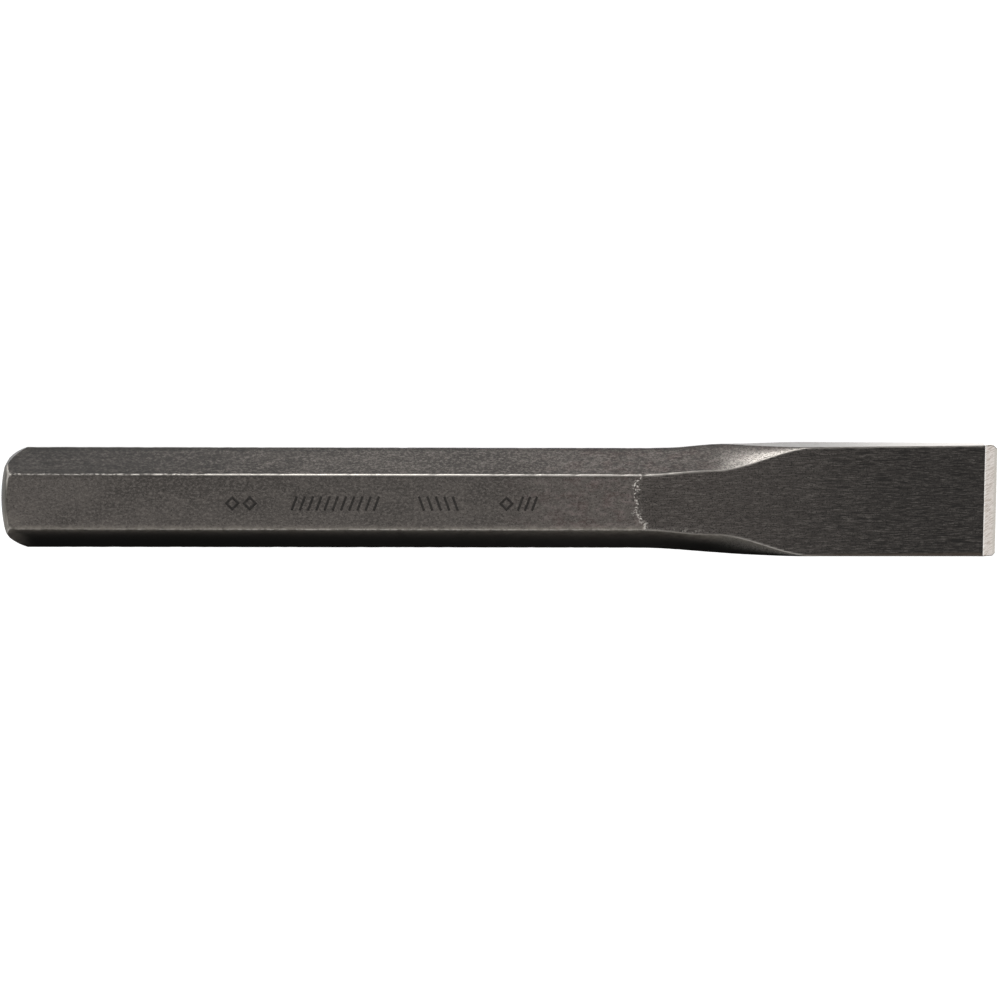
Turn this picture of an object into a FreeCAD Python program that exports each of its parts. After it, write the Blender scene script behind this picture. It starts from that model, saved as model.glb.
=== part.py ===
"""Cold chisel forged in one piece from hexagonal bar.

The bar is drawn out flat at one end into a blade with a ground cutting edge, and its other end
is rounded off where the hammer strikes. The whole tool is one piece of steel, so it is one node.

Working frame, in millimetres: X runs along the bar from the struck end, Y goes across the
blade's width from the bar's axis, and Z goes through its thickness. The last step moves the
origin to the middle of the tool's footprint, on the flat that it lies on.
"""

import FreeCAD, Part
import math
import os

from FreeCAD import Vector

# Driving dimensions
LENGTH = 177.8  # struck end to cutting edge, 7 in
FLAT_TO_AXIS = 7.94  # slanted flats of the 5/8 in bar
HALF_DEPTH = 7.28  # broad flats, which the forging dies pressed a little closer
RIDGE_HALF_WIDTH = 8.98  # axis to the worn ridge between two slanted flats
RIDGE_RADIUS = 0.85  # wear on the ridges
EDGE_RADIUS = 0.4  # wear on the edges of the broad flats
BLADE_EDGE_RADIUS = 0.15  # wear on the edges of the blade

# Struck end
STRUCK_RADIUS = 26.0  # the struck face is a shallow dome
CROWN_RADIUS = 7.75  # rounding of the ridges into the struck face, seen on the broad flat
CROWN_CENTRE_X = 7.36
CROWN_CENTRE_Y = 1.64

# Swell of the bar into the blade
DRAW_START = 114.1  # where the broad flats begin to close in
UPPER_SWELL_END = 137.0  # where the blade's +Y side has its full width
LOWER_SWELL_END = 133.0  # and its -Y side
SIDE_START = 127.0  # where the ridges open into the blade's sides
FACE_END = 144.8  # where the broad faces reach their full width
BLADE_START = 146.3  # where the blade's section is a plain rectangle
BLADE_HALF_DEPTH = 4.06  # half the thickness at BLADE_START
BLADE_ANGLE = 4.2  # degrees that each face leans in, from BLADE_START on
UPPER_BLADE = 9.66  # bar axis to the blade's +Y side
LOWER_BLADE = 9.99  # bar axis to the blade's -Y side
UPPER_WIDENING = 0.003  # further swell of the +Y side, for each millimetre of blade
LOWER_WIDENING = 0.009  # and of the -Y side
UPPER_BULGE = 0.32  # ridge pushed out at the start of the +Y side
BULGE_AT = 127.3
BULGE_LENGTH = 3.4
UPPER_SHOULDER = 0.64  # first widening of the broad face, towards +Y
LOWER_SHOULDER = 1.0  # and towards -Y
CORNER_BREAK = 0.15  # worn edge of the blade, measured along each face

# Cutting edge
BEVEL_ANGLE = 36.0  # degrees between the first bevel and the blade's mid plane
BEVEL_LENGTH = 1.75
HONED_LENGTH = 0.56  # second, steeper bevel
EDGE_HALF_THICKNESS = 0.12  # what is left of the edge itself
EDGE_SKEW = 0.65  # degrees that the edge is ground out of square
UPPER_CLIP = 0.8  # corner knocked off the edge at +Y
LOWER_CLIP = 0.45  # and at -Y

# Stamped marks on the +Z flat
MARK_HEIGHT = 2.7
MARK_WIDTH = 0.42
MARK_DEPTH = 0.25
MARK_LEAN = 20.0  # degrees that each stroke leans
MARK_LINE = -0.2  # Y of the row of marks

STATIONS = 22  # sections through the swell
JOIN_TOLERANCE = 0.001  # gap that is closed where shank, swell and blade meet
REACH = 30.0  # larger than the bar, for tools that cut right across it
DOME_REACH = 12.0  # radius that holds the whole tool


def ease(x, start, end):
    """0 before start, 1 after end, and a smooth S between them."""
    t = min(max((x - start) / (end - start), 0.0), 1.0)
    return t * t * (3.0 - 2.0 * t)


def half_depth(x):
    """Bar axis to the broad face: an arc that runs on into the blade's straight taper."""
    end_slope = math.tan(math.radians(BLADE_ANGLE))
    if x <= DRAW_START:
        return HALF_DEPTH
    if x >= BLADE_START:
        return BLADE_HALF_DEPTH - end_slope * (x - BLADE_START)
    length = BLADE_START - DRAW_START
    start_slope = 2.0 * (HALF_DEPTH - BLADE_HALF_DEPTH) / length - end_slope
    run = x - DRAW_START
    return HALF_DEPTH - start_slope * run + (start_slope - end_slope) * run * run / (2.0 * length)


def half_width(x, upper):
    """Bar axis to the ridge, or to the blade's side."""
    blade = UPPER_BLADE if upper else LOWER_BLADE
    swell_end = UPPER_SWELL_END if upper else LOWER_SWELL_END
    widening = UPPER_WIDENING if upper else LOWER_WIDENING
    width = RIDGE_HALF_WIDTH + (blade - RIDGE_HALF_WIDTH) * ease(x, DRAW_START, swell_end)
    if upper:
        width += UPPER_BULGE * math.exp(-0.5 * ((x - BULGE_AT) / BULGE_LENGTH) ** 2)
    return width + widening * max(x - BLADE_START, 0.0)


def side_half_depth(x):
    """Half the thickness of the blade's side: on the bar, what the worn ridge leaves."""
    on_bar = (FLAT_TO_AXIS - RIDGE_HALF_WIDTH * math.cos(math.radians(30))) / math.sin(math.radians(30))
    on_blade = half_depth(x) - CORNER_BREAK
    return on_bar + (on_blade - on_bar) * ease(x, SIDE_START, BLADE_START - 1.8)


def face_half_width(x, upper):
    """Bar axis to the edge of the broad face."""
    on_bar = (FLAT_TO_AXIS - HALF_DEPTH * math.sin(math.radians(30))) / math.cos(math.radians(30))
    shoulder = UPPER_SHOULDER if upper else LOWER_SHOULDER
    on_swell = on_bar + shoulder * ease(x, DRAW_START, SIDE_START)
    on_blade = half_width(x, upper) - CORNER_BREAK
    return on_swell + (on_blade - on_swell) * ease(x, SIDE_START, FACE_END)


def corners(x):
    """The eight corners of the section at x, with the rounding of each."""
    depth = half_depth(x)
    side = side_half_depth(x)
    edge = EDGE_RADIUS + (BLADE_EDGE_RADIUS - EDGE_RADIUS) * ease(x, SIDE_START, BLADE_START)
    ridge = RIDGE_RADIUS + (edge - RIDGE_RADIUS) * ease(x, DRAW_START, SIDE_START)
    upper_face = face_half_width(x, True)
    lower_face = face_half_width(x, False)
    upper = half_width(x, True)
    lower = half_width(x, False)
    return [
        (Vector(x, upper_face, depth), edge),
        (Vector(x, upper, side), ridge),
        (Vector(x, upper, -side), ridge),
        (Vector(x, upper_face, -depth), edge),
        (Vector(x, -lower_face, -depth), edge),
        (Vector(x, -lower, -side), ridge),
        (Vector(x, -lower, side), ridge),
        (Vector(x, -lower_face, depth), edge),
    ]


def rounded_corner(before, corner, after, radius):
    """Start, middle and end of the arc that rounds one corner."""
    back = (before - corner).normalize()
    ahead = (after - corner).normalize()
    half_angle = back.getAngle(ahead) / 2.0
    bisector = (back + ahead).normalize()
    start = corner + back * (radius / math.tan(half_angle))
    end = corner + ahead * (radius / math.tan(half_angle))
    middle = corner + bisector * (radius / math.sin(half_angle) - radius)
    return start, middle, end


def section(x):
    """The closed outline of the bar or blade at x."""
    points = corners(x)
    arcs = []
    for index, (corner, radius) in enumerate(points):
        before = points[index - 1][0]
        after = points[(index + 1) % len(points)][0]
        arcs.append(rounded_corner(before, corner, after, radius))
    edges = []
    for index, (start, middle, end) in enumerate(arcs):
        next_start = arcs[(index + 1) % len(arcs)][0]
        edges.append(Part.Arc(start, middle, end).toShape())
        edges.append(Part.LineSegment(end, next_start).toShape())
    return Part.Wire(edges)


def bar():
    """The hexagonal shank, up to where the broad flats begin to close in."""
    return Part.Face(section(0.0)).extrude(Vector(DRAW_START, 0, 0))


def swell():
    """The stretch where the six-sided bar becomes a flat blade."""
    step = (BLADE_START - DRAW_START) / (STATIONS - 1)
    sections = [section(DRAW_START + step * index) for index in range(STATIONS)]
    return Part.makeLoft(sections, True, False)


def blade():
    """The straight taper from the swell to beyond the cutting edge."""
    return Part.makeLoft([section(BLADE_START), section(LENGTH + 1.0)], True, True)


def prism(points, along):
    """A closed outline pushed along a vector."""
    return Part.Face(Part.makePolygon(points + points[:1])).extrude(along)


def on_crown(degrees, side):
    """A point of the rounding, counted in degrees round from the struck face."""
    angle = math.radians(degrees)
    x = CROWN_CENTRE_X - CROWN_RADIUS * math.cos(angle)
    y = CROWN_CENTRE_Y + CROWN_RADIUS * math.sin(angle)
    return Vector(x, side * y, -REACH / 2)


def crown_cutter(side):
    """What rounds one ridge into the struck face, seen square to the broad flat."""
    start = on_crown(15.0, side)
    end = on_crown(85.0, side)
    outline = [end, Vector(-1.0, end.y, end.z), Vector(-1.0, start.y, start.z), start]
    edges = [Part.Arc(start, on_crown(50.0, side), end).toShape()]
    for first, second in zip(outline, outline[1:]):
        edges.append(Part.LineSegment(first, second).toShape())
    return Part.Face(Part.Wire(edges)).extrude(Vector(0, 0, REACH))


def on_dome(height):
    """A point of the struck face's outline, at a height above the axis."""
    return Vector(STRUCK_RADIUS - math.sqrt(STRUCK_RADIUS**2 - height**2), height, 0)


def dome_tool():
    """A turned body, inside which the tool stays: it domes the struck face."""
    rim = on_dome(DOME_REACH)
    far = LENGTH + REACH
    outline = [rim, Vector(far, DOME_REACH, 0), Vector(far, 0, 0), Vector(0, 0, 0)]
    edges = [Part.Arc(Vector(0, 0, 0), on_dome(DOME_REACH / 2.0), rim).toShape()]
    for first, second in zip(outline, outline[1:]):
        edges.append(Part.LineSegment(first, second).toShape())
    return Part.Face(Part.Wire(edges)).revolve(Vector(0, 0, 0), Vector(1, 0, 0), 360)


def edge_cutter(side):
    """Takes one bevel and its honed land off the blade, on the +Z or -Z face."""
    honed_start = LENGTH - HONED_LENGTH
    bevel_start = honed_start - BEVEL_LENGTH
    start_height = half_depth(bevel_start)
    honed_height = start_height - BEVEL_LENGTH * math.tan(math.radians(BEVEL_ANGLE))
    run_out = math.tan(math.radians(BEVEL_ANGLE))
    outline = [
        Vector(bevel_start - 1.0, -REACH / 2, side * (start_height + run_out)),
        Vector(honed_start, -REACH / 2, side * honed_height),
        Vector(LENGTH, -REACH / 2, side * EDGE_HALF_THICKNESS),
        Vector(LENGTH + 2.0, -REACH / 2, side * EDGE_HALF_THICKNESS),
        Vector(LENGTH + 2.0, -REACH / 2, side * REACH),
        Vector(bevel_start - 1.0, -REACH / 2, side * REACH),
    ]
    return skewed(prism(outline, Vector(0, REACH, 0)))


def end_cutter():
    """Everything past the cutting edge."""
    corner = Vector(LENGTH, -REACH / 2, -REACH / 2)
    return skewed(Part.makeBox(REACH, REACH, REACH, corner))


def skewed(tool):
    """Turns a tool to the angle of the cutting edge, about the end of the edge at +Y."""
    tool.rotate(Vector(LENGTH, UPPER_BLADE, 0), Vector(0, 0, 1), -EDGE_SKEW)
    return tool


def corner_cutter(clip, upper):
    """Knocks one corner off the cutting edge."""
    side = 1 if upper else -1
    width = half_width(LENGTH, upper)
    drop = 0.0 if upper else (width + UPPER_BLADE) * math.tan(math.radians(EDGE_SKEW))
    tip = LENGTH - drop
    outline = [
        Vector(tip - clip - 1.0, side * (width + 1.0), -REACH / 2),
        Vector(tip + 1.0, side * (width - clip - 1.0), -REACH / 2),
        Vector(tip + REACH, side * REACH, -REACH / 2),
    ]
    return prism(outline, Vector(0, 0, REACH))


def stroke(x, y, length, lean):
    """One straight stroke of a stamped mark, centred on x and y."""
    tool = Part.makeBox(
        MARK_WIDTH,
        length,
        2.0 * MARK_DEPTH,
        Vector(x - MARK_WIDTH / 2, y - length / 2, HALF_DEPTH - MARK_DEPTH),
    )
    tool.rotate(Vector(x, y, 0), Vector(0, 0, 1), lean)
    return tool


def slashes(start, end, count, lean):
    """A row of leaning strokes of one height."""
    step = (end - start) / (count - 1)
    return [stroke(start + step * index, MARK_LINE, MARK_HEIGHT, lean) for index in range(count)]


def diamond(x, reach):
    """A diamond-shaped block that stands on the bottom of the marks."""
    level = HALF_DEPTH - MARK_DEPTH
    points = [
        Vector(x + reach, MARK_LINE, level),
        Vector(x, MARK_LINE + reach, level),
        Vector(x - reach, MARK_LINE, level),
        Vector(x, MARK_LINE - reach, level),
    ]
    return prism(points, Vector(0, 0, 2.0 * MARK_DEPTH))


def lozenge(x):
    """A diamond drawn with one stroke."""
    outer = MARK_HEIGHT / 2.0
    inner = outer - MARK_WIDTH * math.sqrt(2.0)
    return diamond(x, outer).cut(diamond(x, inner))


def marks():
    """Plain strokes and diamonds in four groups along the +Z flat."""
    tools = [lozenge(place) for place in (41.2, 44.3, 89.9)]
    tools += slashes(52.2, 66.8, 11, -MARK_LEAN)
    tools += slashes(74.8, 80.8, 5, MARK_LEAN)
    tools += slashes(92.4, 94.9, 3, -MARK_LEAN)
    return tools


def chisel():
    """The finished forging, in the working frame."""
    blank = bar().fuse((swell(), blade()), JOIN_TOLERANCE).removeSplitter()
    body = blank.common(dome_tool())
    tools = [crown_cutter(1), crown_cutter(-1), end_cutter(), edge_cutter(1), edge_cutter(-1)]
    tools += [corner_cutter(UPPER_CLIP, True), corner_cutter(LOWER_CLIP, False)]
    tools += marks()
    return body.cut(tools)


def main():
    os.makedirs("parts", exist_ok=True)
    body = chisel()
    box = body.optimalBoundingBox(False, False)
    body.translate(Vector(-box.Center.x, -box.Center.y, -box.ZMin))
    solid = body.Solids[0]
    print("solids", len(body.Solids), "valid", solid.isValid(), "volume", round(solid.Volume, 1))
    print("origin moved by", -box.Center.x, -box.Center.y, -box.ZMin)
    print("box", solid.optimalBoundingBox(False, False))
    solid.exportStep("parts/chisel.step")


main()
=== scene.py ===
"""Looks of the cold chisel: one forged piece of hexagonal bar with a black oxide skin.

The surface is a grid of rings round the bar, with the same shape as the design and with the wear
that use has left on it. Shape values are in millimetres, along X from the struck end, across Y and
through Z from the bar's axis, and angles are in degrees. The finished mesh is moved into the frame
and scaled to metres, so in the materials X starts at the middle of the tool.
"""

import math

import bpy
import numpy as np
from mathutils import Matrix, Vector, noise


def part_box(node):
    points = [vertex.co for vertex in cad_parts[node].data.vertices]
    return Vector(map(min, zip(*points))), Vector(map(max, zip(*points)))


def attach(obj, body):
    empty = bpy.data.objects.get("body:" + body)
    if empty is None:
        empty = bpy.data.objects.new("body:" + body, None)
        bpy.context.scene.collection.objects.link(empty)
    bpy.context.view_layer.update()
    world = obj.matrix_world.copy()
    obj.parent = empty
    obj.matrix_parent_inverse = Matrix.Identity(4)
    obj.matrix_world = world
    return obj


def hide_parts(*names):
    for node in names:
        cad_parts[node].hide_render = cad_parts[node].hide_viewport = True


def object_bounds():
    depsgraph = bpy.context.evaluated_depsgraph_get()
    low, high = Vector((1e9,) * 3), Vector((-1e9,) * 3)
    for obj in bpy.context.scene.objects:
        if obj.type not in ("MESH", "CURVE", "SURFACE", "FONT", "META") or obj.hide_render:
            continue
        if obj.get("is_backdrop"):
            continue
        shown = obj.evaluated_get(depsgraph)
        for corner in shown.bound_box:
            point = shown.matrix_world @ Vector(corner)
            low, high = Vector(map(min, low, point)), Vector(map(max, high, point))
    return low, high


MM = 0.001

# The forging, as in the design
LENGTH = 177.8
FLAT_TO_AXIS = 7.94
FLAT_TILT = math.radians(30.0)  # between a slanted flat and upright
HALF_DEPTH = 7.28
RIDGE_HALF_WIDTH = 8.98
EDGE_RADIUS = 0.4
BLADE_EDGE_RADIUS = 0.15
STRUCK_RADIUS = 26.0
CROWN_RADIUS = 7.75
CROWN_CENTRE_X = 7.36
CROWN_CENTRE_Y = 1.64
DRAW_START = 114.1
UPPER_SWELL_END = 137.0
LOWER_SWELL_END = 133.0
SIDE_START = 127.0
FACE_END = 144.8
BLADE_START = 146.3
SIDE_END = BLADE_START - 1.8  # where the blade's side has its full thickness
BLADE_HALF_DEPTH = 4.06
BLADE_ANGLE = 4.2
UPPER_BLADE = 9.66
LOWER_BLADE = 9.99
UPPER_WIDENING = 0.003
LOWER_WIDENING = 0.009
UPPER_BULGE = 0.32
BULGE_AT = 127.3
BULGE_LENGTH = 3.4
UPPER_SHOULDER = 0.64
LOWER_SHOULDER = 1.0
CORNER_BREAK = 0.15
BEVEL_ANGLE = 36.0
BEVEL_LENGTH = 1.75
HONED_LENGTH = 0.56
BEVEL_START = LENGTH - BEVEL_LENGTH - HONED_LENGTH
EDGE_HALF_THICKNESS = 0.12
EDGE_SKEW = 0.65
EDGE_SLOPE = math.tan(math.radians(EDGE_SKEW))
UPPER_CLIP = 0.8
LOWER_CLIP = 0.45
MARK_HEIGHT = 2.7
MARK_WIDTH = 0.42
MARK_DEPTH = 0.25
MARK_CLEAR = 1.0  # how far the cutter stands out of the flat
MARK_LEAN = 20.0
MARK_LINE = -0.2
MARK_STRIP = 2.0  # half the width of the strip of the flat that the marks lie in
# Rows of strokes: the first one's place, the last one's, how many, and how they lean
STROKE_ROWS = [
    (52.2, 66.8, 11, -MARK_LEAN),
    (74.8, 80.8, 5, MARK_LEAN),
    (92.4, 94.9, 3, -MARK_LEAN),
]
DIAMONDS = (41.2, 44.3, 89.9)

# The grid that carries the surface
HALF_RING = 116  # points from one side of the tool over the broad face to the other side
FINE_CELL = 0.3  # width of a cell on a flat
ARC_STEPS = 8  # steps in which a rounded corner is drawn before the ring is shared out
ARC_CELLS = 8.0  # cells that each rounded corner gets
CROWN_END = 8.0  # where the rings stand square again, behind the struck end
RIM_ROUNDING = 0.18
STRUCK_RINGS = 30  # rings on the crown
CROWDING = 1.7  # how much closer together they are at the rim
CAP_RINGS = 26  # rings over the struck face
EDGE_BAND_REACH = 0.35  # how far the darker band reaches beside a face edge
# What the mesh carries at each point for the materials
POINT_VALUES = ("face_edge", "ridge", "beside", "slant", "bare", "lip", "sunk")

# The camera: angles in degrees, from looking straight down with +X to the right
LENS = 300.0
SENSOR = 36.0
VIEW_WIDTH = 178.57
CAMERA_TILT = 7.0  # towards +Y
CAMERA_YAW = -1.5  # towards the struck end
CAMERA_ROLL = 0.09
AIM_OFFSET = (0.04, -0.17, 0.0)

# Wear
NICK_SEED = 11
EDGE_NICKS = 46  # dents along each edge of the broad faces
RIDGE_NICKS = 40  # along each ridge
RIM_NICKS = 40  # round the struck rim
FORGE_WAVE = 0.02  # depth of the slow waves that the dies leave
FORGE_RIPPLE = 0.012  # depth of the finer unevenness


def ease(x, start, end):
    """0 before start, 1 after end, and a smooth S between them."""
    t = np.clip((x - start) / (end - start), 0.0, 1.0)
    return t * t * (3.0 - 2.0 * t)


# ---- the forging's section at any place along it


def half_depth(x):
    """Bar axis to the broad face: an arc that runs on into the blade's straight taper."""
    end_slope = math.tan(math.radians(BLADE_ANGLE))
    if x <= DRAW_START:
        return HALF_DEPTH
    if x >= BLADE_START:
        return BLADE_HALF_DEPTH - end_slope * (x - BLADE_START)
    length = BLADE_START - DRAW_START
    start_slope = 2.0 * (HALF_DEPTH - BLADE_HALF_DEPTH) / length - end_slope
    run = x - DRAW_START
    return HALF_DEPTH - start_slope * run + (start_slope - end_slope) * run * run / (2.0 * length)


def half_width(x, upper):
    """Bar axis to the ridge, or to the blade's side."""
    blade = UPPER_BLADE if upper else LOWER_BLADE
    swell_end = UPPER_SWELL_END if upper else LOWER_SWELL_END
    widening = UPPER_WIDENING if upper else LOWER_WIDENING
    width = RIDGE_HALF_WIDTH + (blade - RIDGE_HALF_WIDTH) * ease(x, DRAW_START, swell_end)
    if upper:
        width += UPPER_BULGE * math.exp(-0.5 * ((x - BULGE_AT) / BULGE_LENGTH) ** 2)
    return width + widening * max(x - BLADE_START, 0.0)


def side_half_depth(x, depth):
    """Half the thickness of the blade's side, or of what the worn ridge leaves on the bar."""
    on_bar = (FLAT_TO_AXIS - RIDGE_HALF_WIDTH * math.cos(FLAT_TILT)) / math.sin(FLAT_TILT)
    on_blade = depth - min(CORNER_BREAK, 0.5 * depth)
    return on_bar + (on_blade - on_bar) * ease(x, SIDE_START, SIDE_END)


def face_half_width(x, upper, width, depth):
    """Bar axis to the edge of the broad face."""
    on_bar = (FLAT_TO_AXIS - HALF_DEPTH * math.sin(FLAT_TILT)) / math.cos(FLAT_TILT)
    shoulder = UPPER_SHOULDER if upper else LOWER_SHOULDER
    on_swell = on_bar + shoulder * ease(x, DRAW_START, SIDE_START)
    on_blade = width - min(CORNER_BREAK, 0.5 * depth)
    return on_swell + (on_blade - on_swell) * ease(x, SIDE_START, FACE_END)


def edge_radius(x):
    """How round the worn edges are."""
    return EDGE_RADIUS + (BLADE_EDGE_RADIUS - EDGE_RADIUS) * float(ease(x, SIDE_START, BLADE_START))


def half_outline(x, depth, upper_width, lower_width):
    """The rounded outline from the -Y side over the +Z face to the +Y side.

    Returns points, how many cells each step of the outline is worth, and how close each point
    is to an edge of the broad face and to a ridge.
    """
    side = side_half_depth(x, depth)
    corners = [
        (-lower_width, side),
        (-face_half_width(x, False, lower_width, depth), depth),
        (face_half_width(x, True, upper_width, depth), depth),
        (upper_width, side),
    ]
    path = [(-lower_width, 0.0)] + corners + [(upper_width, 0.0)]
    points = [path[0]]
    cells = []
    face_edge = [0.0]
    ridge = [0.0]
    for index in range(1, len(path) - 1):
        arc = rounded(path[index - 1], path[index], path[index + 1], edge_radius(x))
        cells.append(math.dist(points[-1], arc[0]) / FINE_CELL)
        cells += [ARC_CELLS / ARC_STEPS] * ARC_STEPS
        points += arc
        hump = list(np.sin(np.linspace(0.0, math.pi, ARC_STEPS + 1)))
        flat = [0.0] * (ARC_STEPS + 1)
        on_face = index in (2, 3)
        face_edge += hump if on_face else flat
        ridge += flat if on_face else hump
    cells.append(math.dist(points[-1], path[-1]) / FINE_CELL)
    points.append(path[-1])
    face_edge.append(0.0)
    ridge.append(0.0)
    return np.array(points), np.array(cells), np.array(face_edge), np.array(ridge)


def rounded(before, corner, after, radius):
    """Points on the arc that rounds one corner, or on a smaller one where there's no room."""
    corner = Vector(corner)
    back = Vector(before) - corner
    ahead = Vector(after) - corner
    half_angle = back.angle(ahead) / 2.0
    radius = min(radius, 0.45 * min(back.length, ahead.length) * math.tan(half_angle))
    bisector = (back.normalized() + ahead.normalized()).normalized()
    centre = corner + bisector * (radius / math.sin(half_angle))
    start = corner + back.normalized() * (radius / math.tan(half_angle)) - centre
    end = corner + ahead.normalized() * (radius / math.tan(half_angle)) - centre
    turn = start.angle_signed(end)
    points = []
    for step in range(ARC_STEPS + 1):
        angle = -turn * step / ARC_STEPS
        cosine = math.cos(angle)
        sine = math.sin(angle)
        points.append((
            centre.x + start.x * cosine - start.y * sine,
            centre.y + start.x * sine + start.y * cosine,
        ))
    return points


def ring(x, depth, upper_width, lower_width):
    """A closed ring of points round the tool, denser where the outline turns.

    Returns Y and Z, and for each point how close it is to a face edge and to a ridge, how close
    to a face edge on the flats beside it, and how far up it is from the side to the face edge.
    """
    points, cells, face_edge, ridge = half_outline(x, depth, upper_width, lower_width)
    along = np.concatenate([[0.0], np.cumsum(cells)])
    share = np.linspace(0.0, along[-1], HALF_RING)
    carried = (points[:, 0], points[:, 1], face_edge, ridge)
    half = [np.interp(share, along, values) for values in carried]
    back = [values[-2:0:-1] for values in half]
    back[1] = -back[1]
    y, z, face_edge, ridge = [np.concatenate([front, rear]) for front, rear in zip(half, back)]
    upper_edge = face_half_width(x, True, upper_width, depth)
    lower_edge = face_half_width(x, False, lower_width, depth)
    across = np.minimum(np.abs(y - upper_edge), np.abs(y + lower_edge))
    beside = np.exp(-np.hypot(across, np.abs(z) - depth) / EDGE_BAND_REACH) * (1.0 - face_edge)
    side = side_half_depth(x, depth)
    slant = np.clip((np.abs(z) - side) / (depth - side), 0.0, 1.0)
    return y, z, face_edge, ridge, beside, slant


# ---- the rings, from the struck end to the cutting edge


def crown_start(y):
    """How far behind the struck face the crown meets the height y."""
    over = np.clip(np.abs(y) - CROWN_CENTRE_Y, 0.0, None)
    return CROWN_CENTRE_X - np.sqrt(CROWN_RADIUS**2 - over**2)


def dome_start(y, z):
    """How far the domed face falls back from its middle."""
    return STRUCK_RADIUS - np.sqrt(STRUCK_RADIUS**2 - y**2 - z**2)


def end_surface(y, z):
    """How far the struck end lies behind its foremost point."""
    return np.maximum(crown_start(y), dome_start(y, z))


def bare_at_end(y, z):
    """1 on the dome, which the hammer keeps bright, and 0 on the crowned ridges."""
    return ease(dome_start(y, z) - crown_start(y), -0.12, 0.12)


def struck_rings():
    """Rings that start on the struck end's own outline and end square to the bar."""
    y, z, face_edge, ridge, beside, slant = ring(
        0.0, HALF_DEPTH, RIDGE_HALF_WIDTH, RIDGE_HALF_WIDTH
    )
    radius = np.hypot(y, z)
    rounding = RIM_ROUNDING * (0.3 + 0.7 * bare_at_end(y, z))
    inward = 1.0 - rounding / radius
    start = end_surface(y * inward, z * inward)
    on_bar = face_half_width(0.0, True, RIDGE_HALF_WIDTH, HALF_DEPTH)
    from_corner = np.exp(-(np.hypot(np.abs(y) - on_bar, np.abs(z) - HALF_DEPTH) / 0.4) ** 2)
    none = np.zeros_like(y)
    rings = []
    for step in range(STRUCK_RINGS):
        travel = (step / STRUCK_RINGS) ** CROWDING * (CROWN_END - start)
        short = np.clip(rounding - travel, 0.0, rounding)
        drop = rounding - np.sqrt(rounding**2 - short**2)
        inset = 1.0 - drop / radius
        rim = bare_at_end(y, z) * (1.0 - ease(travel, 0.0, 0.25))
        # bare steel at the four chipped corners of the struck end, brightened as painted highlight
        flare = from_corner * (1.0 - ease(travel, 0.1, 0.8))
        bare = np.maximum(rim, flare)
        place = [start + travel, y * inset, z * inset]
        rings.append(place + [face_edge, ridge, beside, slant, bare, none, none])
    return rings


def square_rings(places):
    """Plain rings across the bar or blade."""
    rings = []
    for x in places:
        upper = half_width(x, True)
        lower = half_width(x, False)
        y, z, face_edge, ridge, beside, slant = ring(x, half_depth(x), upper, lower)
        shift = (UPPER_BLADE - y) * EDGE_SLOPE * ease(x, BLADE_START, BEVEL_START)
        none = np.zeros_like(y)
        rings.append([x - shift, y, z, face_edge, ridge, beside, slant, none, none, none])
    return rings


def edge_rings(travels):
    """Rings down the two bevels to the cutting edge."""
    start_depth = half_depth(BEVEL_START)
    honed_depth = start_depth - BEVEL_LENGTH * math.tan(math.radians(BEVEL_ANGLE))
    rings = []
    for travel in travels:
        depth = float(np.interp(
            travel,
            [0.0, BEVEL_LENGTH, BEVEL_LENGTH + HONED_LENGTH],
            [start_depth, honed_depth, EDGE_HALF_THICKNESS],
        ))
        x = BEVEL_START + travel
        left = LENGTH - x
        upper = half_width(x, True) - max(UPPER_CLIP - left, 0.0)
        lower = half_width(x, False) - max(LOWER_CLIP - left, 0.0)
        y, z, face_edge, ridge, beside, slant = ring(x, depth, upper, lower)
        shift = (UPPER_BLADE - y) * EDGE_SLOPE
        honed = np.full_like(y, ease(travel, BEVEL_LENGTH - 0.05, BEVEL_LENGTH + 0.05))
        lip = np.full_like(y, 1.0 - ease(travel, 0.04, 0.3))
        none = np.zeros_like(y)
        rings.append([x - shift, y, z, face_edge, ridge, beside, slant, honed, lip, none])
    return rings


def cap_rings(first):
    """Rings over the struck face, from the first ring of the side in to the middle."""
    rings = []
    for step in range(1, CAP_RINGS):
        share = 1.0 - (step / CAP_RINGS) ** 2
        y = first[1] * share
        z = first[2] * share
        none = np.zeros_like(y)
        bare = bare_at_end(y, z)
        rings.append([end_surface(y, z), y, z, none, none, none, none, bare, none, none])
    return rings


def even(start, end, cell):
    """Places from start up to, and not including, end."""
    return np.linspace(start, end, max(2, round((end - start) / cell)), endpoint=False)


# ---- wear, pressed into the rings


def surface_normals(grid):
    """Outward unit normals of a grid of rings."""
    along = np.gradient(grid, axis=0)
    around = np.roll(grid, -1, axis=1) - np.roll(grid, 1, axis=1)
    normal = np.cross(along, around)
    normal /= np.maximum(np.linalg.norm(normal, axis=2, keepdims=True), 1e-9)
    return normal


def rough_field(grid, scale, seed):
    """Smooth noise from 0 to 1 at every point of the grid."""
    flat = grid.reshape(-1, 3) * scale + seed
    values = np.array([noise.noise(Vector(point)) for point in flat])
    return (0.5 + 0.5 * values).reshape(grid.shape[:2])


def press_nick(grid, amount, centre, size, depth):
    """Adds one dent of the given size (X, Y, Z) and depth to amount."""
    near = ((grid - np.array(centre)) / np.array(size)) ** 2
    fall = np.clip(1.0 - near.sum(axis=2), 0.0, None)
    np.maximum(amount, depth * fall**2 * (3.0 - 2.0 * fall), out=amount)


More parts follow.
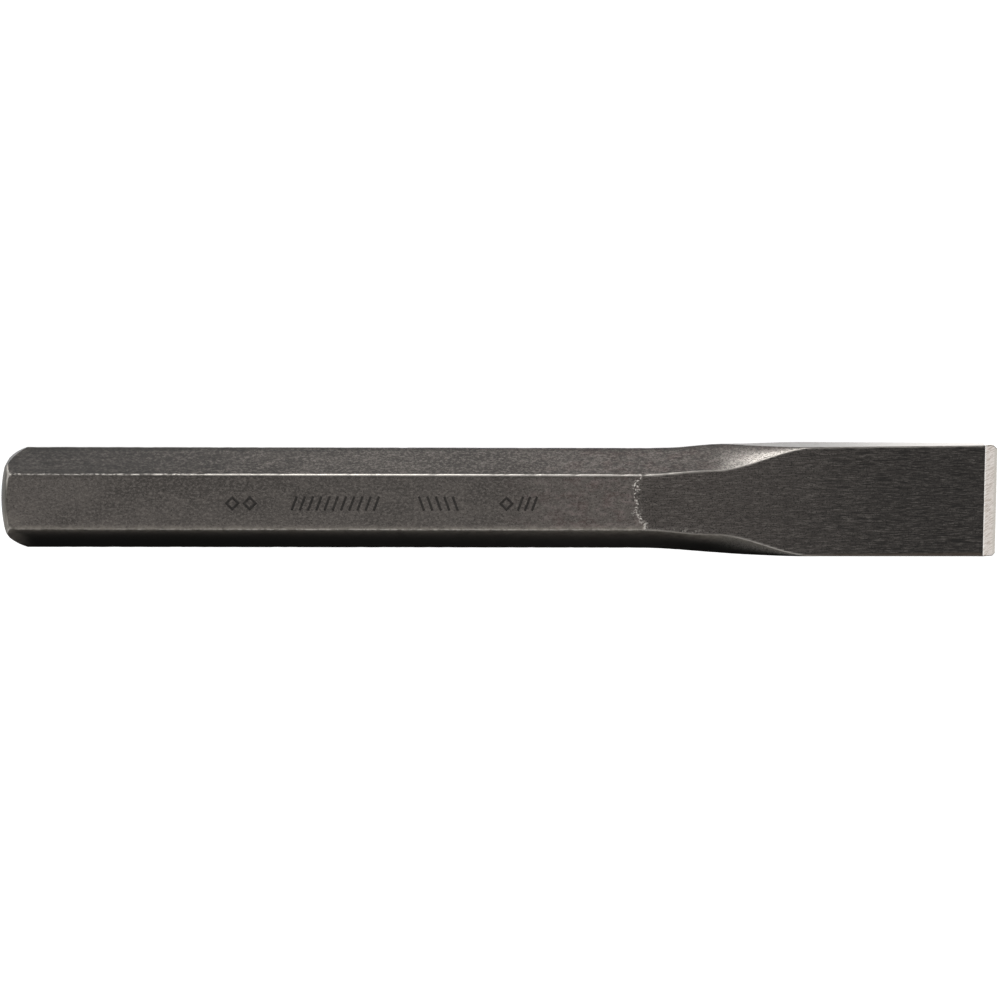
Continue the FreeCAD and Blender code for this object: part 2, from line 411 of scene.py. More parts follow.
def nicks(grid, amount):
    """Dents along the edges of the broad faces, along the ridges and round the struck rim."""
    rng = np.random.default_rng(NICK_SEED)
    for face in (1, -1):
        for upper in (True, False):
            side = 1 if upper else -1
            for _ in range(EDGE_NICKS):
                x = rng.uniform(2.0, 140.0)
                depth = half_depth(x)
                y = side * face_half_width(x, upper, half_width(x, upper), depth)
                size = (rng.uniform(0.35, 1.3), 0.55, 0.55)
                press_nick(grid, amount, (x, y, face * depth), size, rng.uniform(0.03, 0.13))
    for side in (1, -1):
        for _ in range(RIDGE_NICKS):
            x = rng.uniform(6.0, 122.0)
            y = side * half_width(x, side > 0)
            size = (rng.uniform(0.4, 1.6), 0.7, 0.7)
            press_nick(grid, amount, (x, y, 0.0), size, rng.uniform(0.01, 0.035))
    on_bar = face_half_width(0.0, True, RIDGE_HALF_WIDTH, HALF_DEPTH)
    for across in (1, -1):
        for face in (1, -1):
            corner = (1.7, across * on_bar, face * HALF_DEPTH)
            press_nick(grid, amount, corner, (1.1, 0.9, 0.9), 0.24)
    for _ in range(RIM_NICKS):
        angle = rng.uniform(0.0, 2.0 * math.pi)
        centre = (rng.uniform(0.4, 1.4), 7.9 * math.cos(angle), 7.4 * math.sin(angle))
        press_nick(grid, amount, centre, (0.6, 0.8, 0.8), rng.uniform(0.04, 0.14))


def worn(grid):
    """The grid with the forging's waves and its dents pressed in."""
    amount = np.zeros(grid.shape[:2])
    nicks(grid, amount)
    waves = rough_field(grid * np.array([0.5, 1.0, 1.0]), 0.16, 3.0)
    ripple = rough_field(grid, 0.9, 17.0)
    before_edge = 1.0 - ease(grid[:, :, 0], LENGTH - 4.0, LENGTH - 2.4)
    amount += (FORGE_WAVE * waves + FORGE_RIPPLE * ripple) * before_edge
    return grid - surface_normals(grid) * amount[:, :, None]


# ---- the mesh


def forging_rings():
    """Rings from the struck face's middle to the cutting edge, and how many precede the bevels."""
    side = struck_rings()
    side += square_rings(even(CROWN_END, DRAW_START - 0.4, 0.5))
    side += square_rings(even(DRAW_START - 0.4, DRAW_START + 0.4, 0.1))
    side += square_rings(even(DRAW_START + 0.4, BLADE_START, 0.42))
    side += square_rings(even(BLADE_START, BEVEL_START - 0.04, 0.5))
    bevel = [0.0, 0.04, 0.15, 0.3, 0.6, 0.9, 1.2, BEVEL_LENGTH - 0.03, BEVEL_LENGTH + 0.03]
    honed = [BEVEL_LENGTH + share * HONED_LENGTH for share in (0.3, 0.5, 0.7, 0.88, 1.0)]
    bevels = edge_rings(bevel + honed)
    cap = cap_rings(side[0])
    return cap[::-1] + side + bevels, len(cap) + len(side)


def grid_faces(rows, count, first_bevel):
    """Faces between the rings and over both ends, with the material slot of each."""
    faces = []
    slots = []
    for row in range(rows - 1):
        for column in range(count):
            here = row * count + column
            beside = row * count + (column + 1) % count
            faces.append((here, here + count, beside + count, beside))
            slots.append(1 if row >= first_bevel else 0)
    centre = rows * count
    for column in range(count):
        faces.append((centre, column, (column + 1) % count))
        slots.append(0)
    last = centre - count
    for column in range(HALF_RING - 1):
        mirrored = (count - column) % count
        corners = [last + column, last + mirrored, last + count - column - 1, last + column + 1]
        faces.append(tuple(dict.fromkeys(corners)))
        slots.append(1)
    return faces, slots


def chisel_mesh():
    """The whole forging as one closed mesh, in millimetres."""
    rings, first_bevel = forging_rings()
    shape = rings[0][1].shape
    table = np.array([[np.broadcast_to(column, shape) for column in one] for one in rings])
    grid = worn(np.moveaxis(table[:, :3], 1, 2))
    vertices = [tuple(point) for point in grid.reshape(-1, 3)]
    vertices.append((float(grid[0, :, 0].mean()), 0.0, 0.0))
    faces, slots = grid_faces(grid.shape[0], grid.shape[1], first_bevel)
    mesh = bpy.data.meshes.new("chisel_forging")
    mesh.from_pydata(vertices, [], faces)
    mesh.polygons.foreach_set("material_index", slots)
    mesh.polygons.foreach_set("use_smooth", [True] * len(faces))
    for column, name in enumerate(POINT_VALUES, 3):
        layer = mesh.attributes.new(name, "FLOAT", "POINT")
        values = np.append(table[:, column].reshape(-1), table[0, column].mean())
        layer.data.foreach_set("value", values)
    mesh.update()
    return mesh


def mesh_points(mesh):
    """The mesh's points, one row each."""
    points = np.empty(len(mesh.vertices) * 3)
    mesh.vertices.foreach_get("co", points)
    return points.reshape(-1, 3)


def slash(x, lean):
    """The outline of one leaning stroke."""
    turn = math.radians(lean)
    outline = []
    for across, up in ((-1, -1), (1, -1), (1, 1), (-1, 1)):
        flat_x = across * MARK_WIDTH / 2.0
        flat_y = up * MARK_HEIGHT / 2.0
        outline.append((
            x + flat_x * math.cos(turn) - flat_y * math.sin(turn),
            MARK_LINE + flat_x * math.sin(turn) + flat_y * math.cos(turn),
        ))
    return outline


def diamond(x, reach):
    """The outline of a diamond."""
    return [
        (x + reach, MARK_LINE),
        (x, MARK_LINE + reach),
        (x - reach, MARK_LINE),
        (x, MARK_LINE - reach),
    ]


def add_wall(vertices, faces, outline, outward):
    """Adds an upright wall that faces out of an outline or into it. Returns its first point."""
    base = len(vertices)
    count = len(outline)
    vertices += [(x, y, HALF_DEPTH - MARK_DEPTH) for x, y in outline]
    vertices += [(x, y, HALF_DEPTH + MARK_CLEAR) for x, y in outline]
    for side in range(count):
        after = (side + 1) % count
        wall = (base + side, base + after, base + count + after, base + count + side)
        faces.append(wall if outward else wall[::-1])
    return base


def mark_cutter():
    """Plain strokes and diamonds in four groups along the +Z flat."""
    vertices = []
    faces = []
    for start, end, count, lean in STROKE_ROWS:
        for x in np.linspace(start, end, count):
            base = add_wall(vertices, faces, slash(x, lean), True)
            faces.append((base + 3, base + 2, base + 1, base))
            faces.append((base + 4, base + 5, base + 6, base + 7))
    reach = MARK_HEIGHT / 2.0
    for x in DIAMONDS:
        outer = add_wall(vertices, faces, diamond(x, reach), True)
        inner = add_wall(vertices, faces, diamond(x, reach - MARK_WIDTH * math.sqrt(2.0)), False)
        for side in range(4):
            after = (side + 1) % 4
            faces.append((outer + after, outer + side, inner + side, inner + after))
            faces.append((outer + 4 + side, outer + 4 + after, inner + 4 + after, inner + 4 + side))
    mesh = bpy.data.meshes.new("mark_cutter")
    mesh.from_pydata(vertices, [], faces)
    for name in POINT_VALUES:
        mesh.attributes.new(name, "FLOAT", "POINT")
    cutter = bpy.data.objects.new("mark_cutter", mesh)
    bpy.context.scene.collection.objects.link(cutter)
    return cutter


def stamp(body):
    """Cuts the marks into the body for good."""
    cutter = mark_cutter()
    for material in body.data.materials:
        cutter.data.materials.append(material)
    cut = body.modifiers.new("marks", "BOOLEAN")
    cut.operation = "DIFFERENCE"
    cut.solver = "EXACT"
    cut.object = cutter
    bpy.context.view_layer.update()
    graph = bpy.context.evaluated_depsgraph_get()
    cut_mesh = bpy.data.meshes.new_from_object(body.evaluated_get(graph), depsgraph=graph)
    body.modifiers.clear()
    body.data = cut_mesh
    body.data.name = "chisel_forging"
    bpy.data.objects.remove(cutter)


def value_marks(mesh):
    """Sets what the points on the marked flat carry: nothing but the depth of the marks."""
    x, y, z = mesh_points(mesh).T
    on_strip = (np.abs(y) < MARK_STRIP) & (x > CROWN_END) & (x < DRAW_START)
    on_flat = on_strip & (z > 0.9 * HALF_DEPTH)
    in_mark = on_flat & (z < HALF_DEPTH - 0.6 * MARK_DEPTH)
    for name in POINT_VALUES:
        layer = mesh.attributes[name].data
        values = np.empty(len(layer))
        layer.foreach_get("value", values)
        values[on_flat] = 0.0
        if name == "sunk":
            values[in_mark] = 1.0
        layer.foreach_set("value", values)


def place_in_frame(mesh):
    """Scales the mesh to metres and puts it where the design lies.

    The design's lowest Y is the -Y side of the blade where the clipped corner begins.
    """
    points = mesh_points(mesh) * MM
    low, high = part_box("chisel")
    skew = (UPPER_BLADE + LOWER_BLADE) * EDGE_SLOPE
    widest = half_width(LENGTH - skew - LOWER_CLIP, False)
    axis_start = Vector((low[0], low[1] + widest * MM, (low[2] + high[2]) / 2.0))
    points += np.array(axis_start)
    mesh.vertices.foreach_set("co", points.reshape(-1))
    mesh.update()


# ---- materials

BLACK = (0.010, 0.009, 0.008, 1.0)


class Shader:
    """One material's nodes, with short ways to add and join them."""

    def __init__(self, name):
        self.material = bpy.data.materials.new(name)
        self.material.use_nodes = True
        self.tree = self.material.node_tree
        self.surface = self.tree.nodes["Principled BSDF"]
        source = self.add("ShaderNodeTexCoord")
        self.place = self.vector("SCALE", source.outputs["Object"], Scale=1.0 / MM)
        parts = self.add("ShaderNodeSeparateXYZ")
        self.feed(parts.inputs[0], self.place)
        self.x, self.y, self.z = parts.outputs
        facing = self.add("ShaderNodeSeparateXYZ")
        self.feed(facing.inputs[0], source.outputs["Normal"])
        self.flatness = self.number("ABSOLUTE", facing.outputs["Z"])
        self.on_broad = self.spread(self.flatness, 0.88, 0.97)

    def add(self, kind, **settings):
        """A new node, with its settings."""
        node = self.tree.nodes.new(kind)
        for key, value in settings.items():
            setattr(node, key, value)
        return node

    def feed(self, socket, value):
        """Links or sets one input."""
        if isinstance(value, bpy.types.NodeSocket):
            self.tree.links.new(value, socket)
        else:
            socket.default_value = value

    def vector(self, operation, value, **inputs):
        """A vector sum, product or scaling."""
        node = self.add("ShaderNodeVectorMath", operation=operation)
        self.feed(node.inputs[0], value)
        for name, given in inputs.items():
            self.feed(node.inputs[name], given)
        return node.outputs["Vector"]

    def number(self, operation, first, second=0.0):
        """A sum, product, power or the like of two numbers."""
        node = self.add("ShaderNodeMath", operation=operation)
        self.feed(node.inputs[0], first)
        self.feed(node.inputs[1], second)
        return node.outputs[0]

    def product(self, first, *others):
        """Numbers multiplied together."""
        for other in others:
            first = self.number("MULTIPLY", first, other)
        return first

    def largest(self, first, *others):
        """The largest of some numbers."""
        for other in others:
            first = self.number("MAXIMUM", first, other)
        return first

    def spread(self, value, low, high, to_low=0.0, to_high=1.0):
        """Takes low..high to to_low..to_high and stops there."""
        node = self.add("ShaderNodeMapRange", interpolation_type="SMOOTHSTEP")
        for index, given in enumerate((value, low, high, to_low, to_high)):
            self.feed(node.inputs[index], given)
        return node.outputs[0]

    def mix(self, share, first, second):
        """A blend of two colours."""
        node = self.add("ShaderNodeMix", data_type="RGBA")
        self.feed(node.inputs[0], share)
        self.feed(node.inputs[6], first)
        self.feed(node.inputs[7], second)
        return node.outputs[2]

    def blend(self, share, first, second):
        """A blend of two numbers."""
        node = self.add("ShaderNodeMix", data_type="FLOAT")
        self.feed(node.inputs[0], share)
        self.feed(node.inputs[2], first)
        self.feed(node.inputs[3], second)
        return node.outputs[0]

    def grain(self, scale, detail=3.0, stretch=(1.0, 1.0, 1.0), turn=0.0, roughness=0.55):
        """Noise from 0 to 1, scale in cells for each millimetre, drawn out by stretch."""
        turned = self.add("ShaderNodeMapping")
        self.feed(turned.inputs["Vector"], self.place)
        turned.inputs["Rotation"].default_value = (0.0, 0.0, math.radians(turn))
        stretched = self.vector("MULTIPLY", turned.outputs[0])
        stretched.node.inputs[1].default_value = stretch
        node = self.add("ShaderNodeTexNoise")
        self.feed(node.inputs["Vector"], stretched)
        node.inputs["Scale"].default_value = scale
        node.inputs["Detail"].default_value = detail
        node.inputs["Roughness"].default_value = roughness
        return node.outputs["Fac"]

    def attribute(self, name):
        """A value that the mesh carries at each point."""
        return self.add("ShaderNodeAttribute", attribute_name=name).outputs["Fac"]

    def bump(self, height, distance, below=None):
        """A normal from a height of 0 to 1, worth distance in metres."""
        node = self.add("ShaderNodeBump")
        node.inputs["Distance"].default_value = distance
        node.inputs["Strength"].default_value = 1.0
        self.feed(node.inputs["Height"], height)
        if below is not None:
            self.feed(node.inputs["Normal"], below)
        return node.outputs["Normal"]


def forged_skin(shader, speck, dust, patch):
    """Mottled black oxide over forged steel, with a breath of rust towards the swell."""
    cloud = shader.spread(shader.grain(0.12, 4.0, (0.55, 1.0, 1.0)), 0.35, 0.65)
    patches = shader.grain(0.42, 3.0, (0.6, 1.0, 1.0))
    near_swell = shader.spread(shader.x, -4.0, 18.0)
    skin = shader.mix(cloud, (0.066, 0.058, 0.052, 1.0), (0.104, 0.092, 0.083, 1.0))
    pale = shader.spread(patches, 0.5, 0.62, 0.0, 0.45)
    skin = shader.mix(pale, skin, (0.125, 0.110, 0.098, 1.0))
    skin = shader.mix(shader.product(near_swell, 0.28), skin, (0.190, 0.165, 0.150, 1.0))
    rust = shader.product(near_swell, shader.spread(patches, 0.52, 0.38, 0.0, 0.65))
    skin = shader.mix(rust, skin, (0.095, 0.066, 0.059, 1.0))
    thin = shader.product(near_swell, shader.spread(patch, 0.48, 0.66))
    thin = shader.product(thin, shader.blend(shader.on_broad, 0.15, 0.6))
    skin = shader.mix(thin, skin, (0.29, 0.232, 0.222, 1.0))
    skin = shader.mix(shader.spread(speck, 0.44, 0.64, 0.0, 0.7), skin, (0.21, 0.188, 0.17, 1.0))
    return shader.mix(shader.spread(dust, 0.48, 0.3, 0.0, 0.85), skin, (0.020, 0.017, 0.015, 1.0))


def down_slant(shader):
    """1 at the broad face's edge, less near the ridge: at once on the bar, later on the swell."""
    slant = shader.attribute("slant")
    on_bar = shader.number("POWER", slant, shader.spread(shader.x, -60.0, 25.0, 4.4, 3.0))
    on_swell = shader.spread(slant, 0.36, 1.0)
    return shader.blend(shader.spread(shader.x, 26.0, 40.0), on_bar, on_swell)


def rubbed_and_painted_light_share(shader, patch, at_end):
    """Where handling has thinned the skin along the -Y face edge and at the struck end, and painted
    light down the -Y slanted flat from its face edge.
    """
    face = shader.product(shader.spread(shader.y, -3.5, -5.1), shader.on_broad)
    # painted light: the -Y slanted flat lightened near its face edge
    slant = shader.product(down_slant(shader), shader.number("SUBTRACT", 1.0, shader.on_broad))
    return shader.product(
        shader.largest(at_end, shader.number("ADD", face, slant)),
        shader.spread(shader.y, -1.0, -3.0),
        shader.spread(shader.x, 60.0, 48.0, 0.0, 0.85),
        shader.spread(shader.x, -10.0, 15.0, 1.0, 1.2),
        shader.spread(patch, 0.35, 0.62, 0.4, 1.1),
    )


def painted_flat_shade(shader, speck, patch, at_end):
    """Painted shade: how much of the skin's own tone shows on the slanted flats, which are darkened
    towards black, most near the ridges and most on the -Y side.
    """
    before_swell = shader.spread(shader.x, 38.0, 26.0)
    darkest = shader.product(shader.spread(shader.x, -60.0, 20.0, 0.0, 0.12), before_swell)
    low_side = shader.largest(shader.blend(down_slant(shader), darkest, 1.0), at_end)
    streaks = shader.spread(shader.grain(0.6, 3.0, (0.35, 2.5, 1.0)), 0.4, 0.6, 0.74, 1.16)
    high_side = shader.product(
        shader.spread(shader.attribute("slant"), 0.0, 0.2, 0.5, 1.0),
        shader.blend(shader.spread(shader.x, -10.0, -50.0), 1.0, streaks),
        shader.spread(shader.x, -90.0, -15.0, 0.38, 0.84),
        shader.spread(shader.x, 26.0, 40.0, 1.0, 0.76),
        shader.spread(patch, 0.35, 0.65, 0.8, 1.15),
        shader.spread(speck, 0.35, 0.62, 0.6, 1.2),
    )
    sides = shader.blend(shader.spread(shader.y, -1.0, 1.0), low_side, high_side)
    return shader.blend(shader.on_broad, sides, 1.0)


def shaded_skin(shader, skin, speck, patch):
    """The skin with its thin places and painted light near the -Y face edge, painted shade on the
    slanted flats and in the marks, and a darker band beside the +Y face edges.
    """
    at_end = shader.product(
        shader.spread(shader.x, -82.5, -87.6, 0.0, 0.9),
        shader.blend(shader.on_broad, 1.0, 0.3),
    )
    skin = shader.mix(rubbed_and_painted_light_share(shader, patch, at_end), skin, (0.32, 0.29, 0.25, 1.0))
    # painted shade: the slanted flats darkened towards black
    skin = shader.mix(painted_flat_shade(shader, speck, patch, at_end), BLACK, skin)
    # a darker band beside the +Y face edges
    edge_band = shader.spread(shader.y, -1.0, 1.0, 0.0, 0.75)
    edge_band = shader.product(shader.attribute("beside"), edge_band)
    skin = shader.mix(edge_band, skin, (0.022, 0.019, 0.017, 1.0))
    # painted shade in the recesses of the stamped marks
    return shader.mix(shader.product(shader.attribute("sunk"), 0.7), skin, BLACK)


def brushed_skin(shader, hairs, dust):
    """The blade's skin, brushed along its length, darker towards the edge and brown along -Y."""
    threads = shader.grain(1.0, 1.0, (0.1, 3.0, 0.2))
    far = shader.spread(shader.x, 30.0, 80.0)
    skin = shader.mix(far, (0.078, 0.067, 0.060, 1.0), (0.036, 0.031, 0.028, 1.0))
    light = shader.mix(far, (0.18, 0.161, 0.146, 1.0), (0.125, 0.113, 0.103, 1.0))
    skin = shader.mix(shader.spread(threads, 0.5, 0.7, 0.0, 0.12), skin, light)
    skin = shader.mix(shader.spread(hairs, 0.47, 0.66, 0.0, 0.9), skin, light)
    skin = shader.mix(shader.spread(dust, 0.52, 0.34, 0.0, 0.9), skin, BLACK)
    scores = shader.spread(shader.grain(1.0, 1.0, (0.3, 5.0, 0.3)), 0.5, 0.36, 0.0, 0.8)
    scores = shader.product(far, scores)
    skin = shader.mix(scores, skin, (0.008, 0.007, 0.006, 1.0))
    brown = shader.spread(shader.y, -9.1, -9.5, 0.0, 0.6)
    return shader.mix(brown, skin, (0.085, 0.062, 0.045, 1.0))


def past_line(shader):
    """How far past the ragged line across the end of the shank a point is."""
    aside = shader.number("SUBTRACT", shader.y, 1.0)
    bow = shader.product(aside, aside, 0.055)
    ragged = shader.spread(shader.grain(0.7, 3.0), 0.3, 0.7, -0.6, 0.6)
    line = shader.number("ADD", shader.number("ADD", bow, ragged), DRAW_START - LENGTH / 2.0 - 1.2)
    return shader.number("SUBTRACT", shader.x, line)


def bare_edges(shader, patch, on_swell):
    """The worn edges of the broad faces, barest at +Y and away from the struck end."""
    width = shader.spread(shader.x, -75.0, -30.0, 1.0, 0.5)
    high_side = shader.spread(shader.y, 0.0, 2.0)
    low_share = shader.product(on_swell, shader.spread(shader.x, 40.0, 50.0, 1.2, 2.0))
    low_side = shader.spread(shader.y, 0.0, -2.0)
    low_side = shader.product(low_side, shader.spread(shader.x, 34.0, 24.0))
    dotted = shader.largest(shader.spread(shader.x, -45.0, -65.0), low_side)
    dots = shader.spread(shader.grain(1.5, 2.0), 0.42, 0.55, 0.3, 1.3)
    return shader.product(
        shader.number("POWER", shader.attribute("face_edge"), width),
        shader.largest(shader.blend(high_side, 0.45, 1.0), low_share),
        shader.spread(shader.x, -88.0, -30.0, 0.4, 1.0),
        shader.spread(shader.x, -20.0, 12.0, 1.0, 0.8),
        shader.spread(shader.x, 27.0, 36.0, 1.0, 0.5),
        shader.spread(patch, 0.25, 0.5, 0.55, 1.0),
        shader.blend(dotted, 1.0, dots),
    )


def bare_rim_and_painted_reflection(shader, patch):
    """The struck face, bare from the hammer, darker in its middle and brightest round its rim as
    painted reflection.
    """
    height = shader.number("SUBTRACT", shader.z, HALF_DEPTH)
    across = shader.product(shader.y, shader.y)
    squares = shader.number("ADD", across, shader.product(height, height))
    # painted reflection: less bare steel in the middle of the struck face, more round its rim
    rim = shader.spread(shader.number("SQRT", squares), 7.2, 8.4, 0.12, 1.0)
    return shader.product(shader.attribute("bare"), rim, shader.spread(patch, 0.2, 0.45, 0.6, 1.0))


def bare_dots(shader, ahead):
    """Dots along the ragged line, closer together towards -Y."""
    width = shader.spread(shader.y, -3.0, 2.0, 0.9, 0.6)
    near = shader.spread(shader.number("ABSOLUTE", ahead), width, 0.0)
    sparse = shader.spread(shader.y, -3.0, 2.0, 0.42, 0.5)
    dots = shader.spread(shader.grain(2.2, 2.0), sparse, 0.6, 0.0, 0.8)
    return shader.product(near, shader.on_broad, dots)


def painted_swell_sheen(shader, dust, on_swell):
    """Painted highlight: grainy bare steel where the slanted flats run out on the swell, in place
    of a bright reflection there.
    """
    return shader.product(
        on_swell,
        shader.spread(shader.flatness, 0.52, 0.66),
        shader.spread(shader.flatness, 0.97, 0.85),
        shader.spread(shader.attribute("slant"), 0.1, 0.85),
        shader.spread(dust, 0.35, 0.62, 0.1, 0.6),
    )


def bare_side_and_painted_sheen(shader):
    """The ground sides of the blade, bare steel, with more of it towards the edge as painted sheen.
    """
    upright = shader.spread(shader.flatness, 0.4, 0.15)
    return shader.product(
        upright,
        shader.spread(shader.x, 34.0, 46.0),
        # painted sheen: barer and brighter towards the edge
        shader.spread(shader.x, 50.0, 84.0, 0.08, 0.5),
    )


def bare_flecks(shader):
    """Flecks in the rubbed band along the -Y edge of the broad faces."""
    return shader.product(
        shader.on_broad,
        shader.spread(shader.y, -4.0, -5.2),
        shader.spread(shader.x, 42.0, 26.0),
        shader.spread(shader.x, -40.0, 8.0, 0.45, 1.0),
        shader.spread(shader.grain(2.6, 2.0), 0.54, 0.64, 0.0, 0.55),
    )


def bare_share(shader, dust, patch, ahead):
    """Where the skin is rubbed, ground or struck off, with bare steel also laid on as painted
    highlight on the swell, the blade's sides and the struck face.
    """
    on_swell = shader.spread(shader.x, 32.0, 46.0)
    on_swell = shader.product(on_swell, shader.spread(shader.x, 60.0, 52.0))
    return shader.largest(
        bare_edges(shader, patch, on_swell),
        shader.product(shader.attribute("ridge"), shader.spread(patch, 0.5, 0.8, 0.0, 0.4)),
        bare_side_and_painted_sheen(shader),
        bare_rim_and_painted_reflection(shader, patch),
        bare_dots(shader, ahead),
        # painted highlight on the swell
        painted_swell_sheen(shader, dust, on_swell),
        bare_flecks(shader),
    )


def black_oxide():
    """Black oxide over forged bar, brushed on the blade, with bare steel where it has worn off and,
    in places, as painted highlight.
    """
    shader = Shader("black_oxide")
    speck = shader.grain(2.4, 3.0, (0.7, 1.0, 1.0), roughness=0.75)
    dust = shader.grain(5.0, 2.0, (0.7, 1.0, 1.0), roughness=0.8)
    hairs = shader.grain(1.0, 1.5, (0.6, 7.5, 0.4), roughness=0.8)
    patch = shader.grain(0.9, 4.0, (0.6, 1.0, 1.0), roughness=0.75)
    ahead = past_line(shader)
    brushed = shader.product(shader.spread(ahead, -0.15, 0.25), shader.on_broad)
    skin = shaded_skin(shader, forged_skin(shader, speck, dust, patch), speck, patch)
    skin = shader.mix(brushed, skin, brushed_skin(shader, hairs, dust))
    bare = bare_share(shader, dust, patch, ahead)
    steel = shader.mix(speck, (0.60, 0.56, 0.51, 1.0), (0.90, 0.86, 0.80, 1.0))
    steel = shader.mix(shader.spread(shader.x, -87.4, -88.1), steel, (0.86, 0.77, 0.61, 1.0))
    shader.feed(shader.surface.inputs["Base Color"], shader.mix(bare, skin, steel))
    shader.feed(shader.surface.inputs["Metallic"], shader.spread(bare, 0.0, 1.0, 0.55, 1.0))
    forged_roughness = shader.spread(speck, 0.3, 0.7, 0.42, 0.54)
    brushed_roughness = shader.spread(hairs, 0.3, 0.7, 0.36, 0.46)
    roughness = shader.blend(brushed, forged_roughness, brushed_roughness)
    shader.feed(shader.surface.inputs["Roughness"], shader.blend(bare, roughness, 0.28))
    pits = shader.bump(speck, 0.014 * MM)
    fine = shader.bump(dust, 0.008 * MM, pits)
    hair_height = shader.product(hairs, brushed)
    shader.feed(shader.surface.inputs["Normal"], shader.bump(hair_height, 0.012 * MM, fine))
    return shader.material


def ground_steel():
    """Bare steel of the ground bevels, with the wheel's lines running aslant."""
    shader = Shader("ground_steel")
    lines = shader.grain(1.0, 2.0, (0.5, 4.5, 1.0), turn=-24.0, roughness=0.7)
    broad = shader.grain(0.7, 2.0)
    light = (0.76, 0.71, 0.67, 1.0)
    tone = shader.mix(shader.spread(lines, 0.36, 0.56), (0.44, 0.39, 0.35, 1.0), light)
    tone = shader.mix(shader.spread(broad, 0.3, 0.7, 0.0, 0.15), tone, (0.45, 0.38, 0.32, 1.0))
    honed = shader.attribute("bare")
    tone = shader.mix(shader.product(honed, 0.6), tone, (0.64, 0.61, 0.55, 1.0))
    lip = shader.product(shader.attribute("lip"), shader.spread(lines, 0.35, 0.6, 0.25, 1.0))
    tone = shader.mix(lip, tone, (0.95, 0.93, 0.90, 1.0))
    shader.feed(shader.surface.inputs["Base Color"], tone)
    shader.surface.inputs["Metallic"].default_value = 0.85
    shader.feed(shader.surface.inputs["Roughness"], shader.spread(lines, 0.2, 0.8, 0.30, 0.50))
    shader.feed(shader.surface.inputs["Normal"], shader.bump(lines, 0.02 * MM))
    return shader.material


# ---- the studio


def floor():
    """A plain pale floor that glows a little, so that shadows on it stay faint."""
    reach = 3.0
    mesh = bpy.data.meshes.new("floor")
    corners = [(-reach, -reach, 0), (reach, -reach, 0), (reach, reach, 0), (-reach, reach, 0)]
    mesh.from_pydata(corners, [], [(0, 1, 2, 3)])
    plane = bpy.data.objects.new("floor", mesh)
    bpy.context.scene.collection.objects.link(plane)
    material = bpy.data.materials.new("pale_floor")
    material.use_nodes = True
    surface = material.node_tree.nodes["Principled BSDF"]
    surface.inputs["Base Color"].default_value = (0.9, 0.9, 0.9, 1.0)
    surface.inputs["Roughness"].default_value = 0.9
    surface.inputs["Emission Color"].default_value = (1.0, 1.0, 1.0, 1.0)
    surface.inputs["Emission Strength"].default_value = 0.75
    mesh.materials.append(material)
    plane.visible_diffuse = False
    plane.visible_glossy = False
    plane.visible_shadow = False
    plane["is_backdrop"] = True


# Soft light from all round: direction it comes from, strength, and how narrow it is
LIGHTS = [
    ((-0.25, 0.0, 1.0), 1.12, 4.0),
    ((0.0, 0.35, -1.0), 2.5, 8.0),
    ((-0.3, 0.95, 0.05), 8.0, 40.0),
    ((0.0, 0.94, 0.34), 4.0, 60.0),
    ((0.0, -0.8, 0.6), 0.8, 14.0),
    ((0.0, 1.0, -0.3), 0.55, 4.0),
    ((0.95, -0.1, 0.25), 1.4, 6.0),
    ((-0.9, 0.0, -0.45), 0.7, 8.0),
]
AMBIENT = 0.015
PALE = 0.95  # the backdrop itself, as the camera sees it


def world_number(tree, operation, value, *settings):
    """A sum, product, power or the like of a number from another node and some set ones."""
    node = tree.nodes.new("ShaderNodeMath")
    node.operation = operation
    tree.links.new(value, node.inputs[0])
    for index, setting in enumerate(settings, 1):
        node.inputs[index].default_value = setting
    return node.outputs[0]


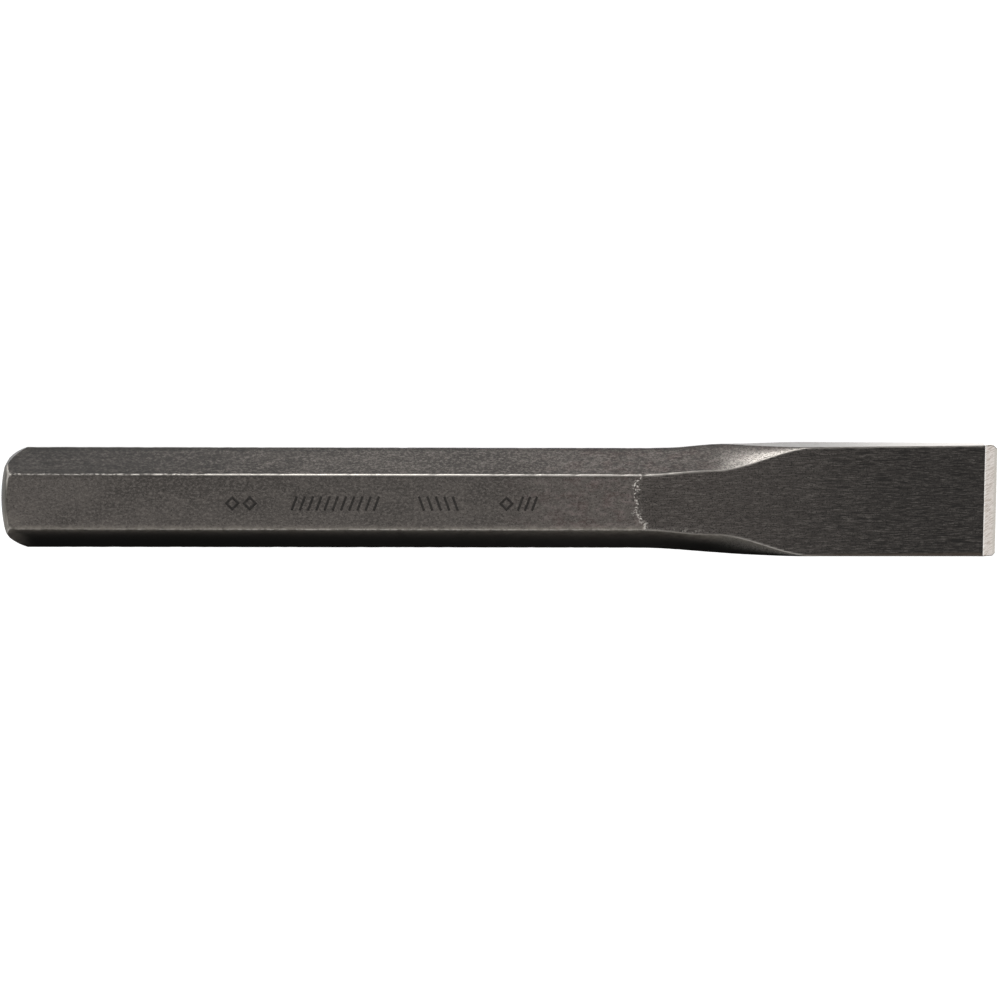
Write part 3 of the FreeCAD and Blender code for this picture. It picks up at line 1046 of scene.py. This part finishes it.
def studio_light():
    """The world: a few broad pools of light, added up."""
    world = bpy.data.worlds.new("studio")
    bpy.context.scene.world = world
    world.use_nodes = True
    tree = world.node_tree
    direction = tree.nodes.new("ShaderNodeTexCoord").outputs["Generated"]
    total = None
    for source, strength, narrowness in LIGHTS:
        facing = tree.nodes.new("ShaderNodeVectorMath")
        facing.operation = "DOT_PRODUCT"
        tree.links.new(direction, facing.inputs[0])
        facing.inputs[1].default_value = Vector(source).normalized()
        above = world_number(tree, "MAXIMUM", facing.outputs["Value"], 0.0)
        pool = world_number(tree, "POWER", above, narrowness)
        pool = world_number(tree, "MULTIPLY_ADD", pool, strength, AMBIENT)
        if total is not None:
            tree.links.new(total, pool.node.inputs[2])
        total = pool
    seen = tree.nodes.new("ShaderNodeMix")
    tree.links.new(tree.nodes.new("ShaderNodeLightPath").outputs["Is Camera Ray"], seen.inputs[0])
    tree.links.new(total, seen.inputs[2])
    seen.inputs[3].default_value = PALE
    background = tree.nodes["Background"]
    background.inputs["Color"].default_value = (1.0, 1.0, 1.0, 1.0)
    tree.links.new(seen.outputs[0], background.inputs["Strength"])


def camera():
    """A long lens above the tool, a little to its +Y side and towards its struck end."""
    low, high = (Vector(corner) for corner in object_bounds())
    data = bpy.data.cameras.new("camera")
    data.lens = LENS
    data.sensor_width = SENSOR
    data.clip_end = 20.0
    eye = bpy.data.objects.new("camera", data)
    bpy.context.scene.collection.objects.link(eye)
    turn = (
        Matrix.Rotation(math.radians(-CAMERA_TILT), 4, "X")
        @ Matrix.Rotation(math.radians(CAMERA_YAW), 4, "Y")
        @ Matrix.Rotation(math.radians(CAMERA_ROLL), 4, "Z")
    )
    distance = VIEW_WIDTH * MM * data.lens / data.sensor_width
    aim = (low + high) / 2.0 + Vector(AIM_OFFSET) * MM
    eye.matrix_world = Matrix.Translation(aim) @ turn @ Matrix.Translation((0.0, 0.0, distance))
    bpy.context.scene.camera = eye


# ---- put together

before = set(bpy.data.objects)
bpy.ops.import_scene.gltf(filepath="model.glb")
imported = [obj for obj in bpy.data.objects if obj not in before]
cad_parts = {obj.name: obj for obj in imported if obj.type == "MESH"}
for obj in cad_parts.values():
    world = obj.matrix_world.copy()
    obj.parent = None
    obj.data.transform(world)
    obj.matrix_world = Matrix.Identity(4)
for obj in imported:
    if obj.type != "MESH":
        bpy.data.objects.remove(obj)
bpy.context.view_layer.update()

forging = bpy.data.objects.new("chisel_forging", chisel_mesh())
bpy.context.scene.collection.objects.link(forging)
forging.data.materials.append(black_oxide())
forging.data.materials.append(ground_steel())
stamp(forging)
value_marks(forging.data)
place_in_frame(forging.data)
forging.data.set_sharp_from_angle(angle=math.radians(40.0))
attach(forging, "root")
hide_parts("chisel")

floor()
studio_light()
camera()
bpy.context.scene.view_settings.view_transform = "Standard"
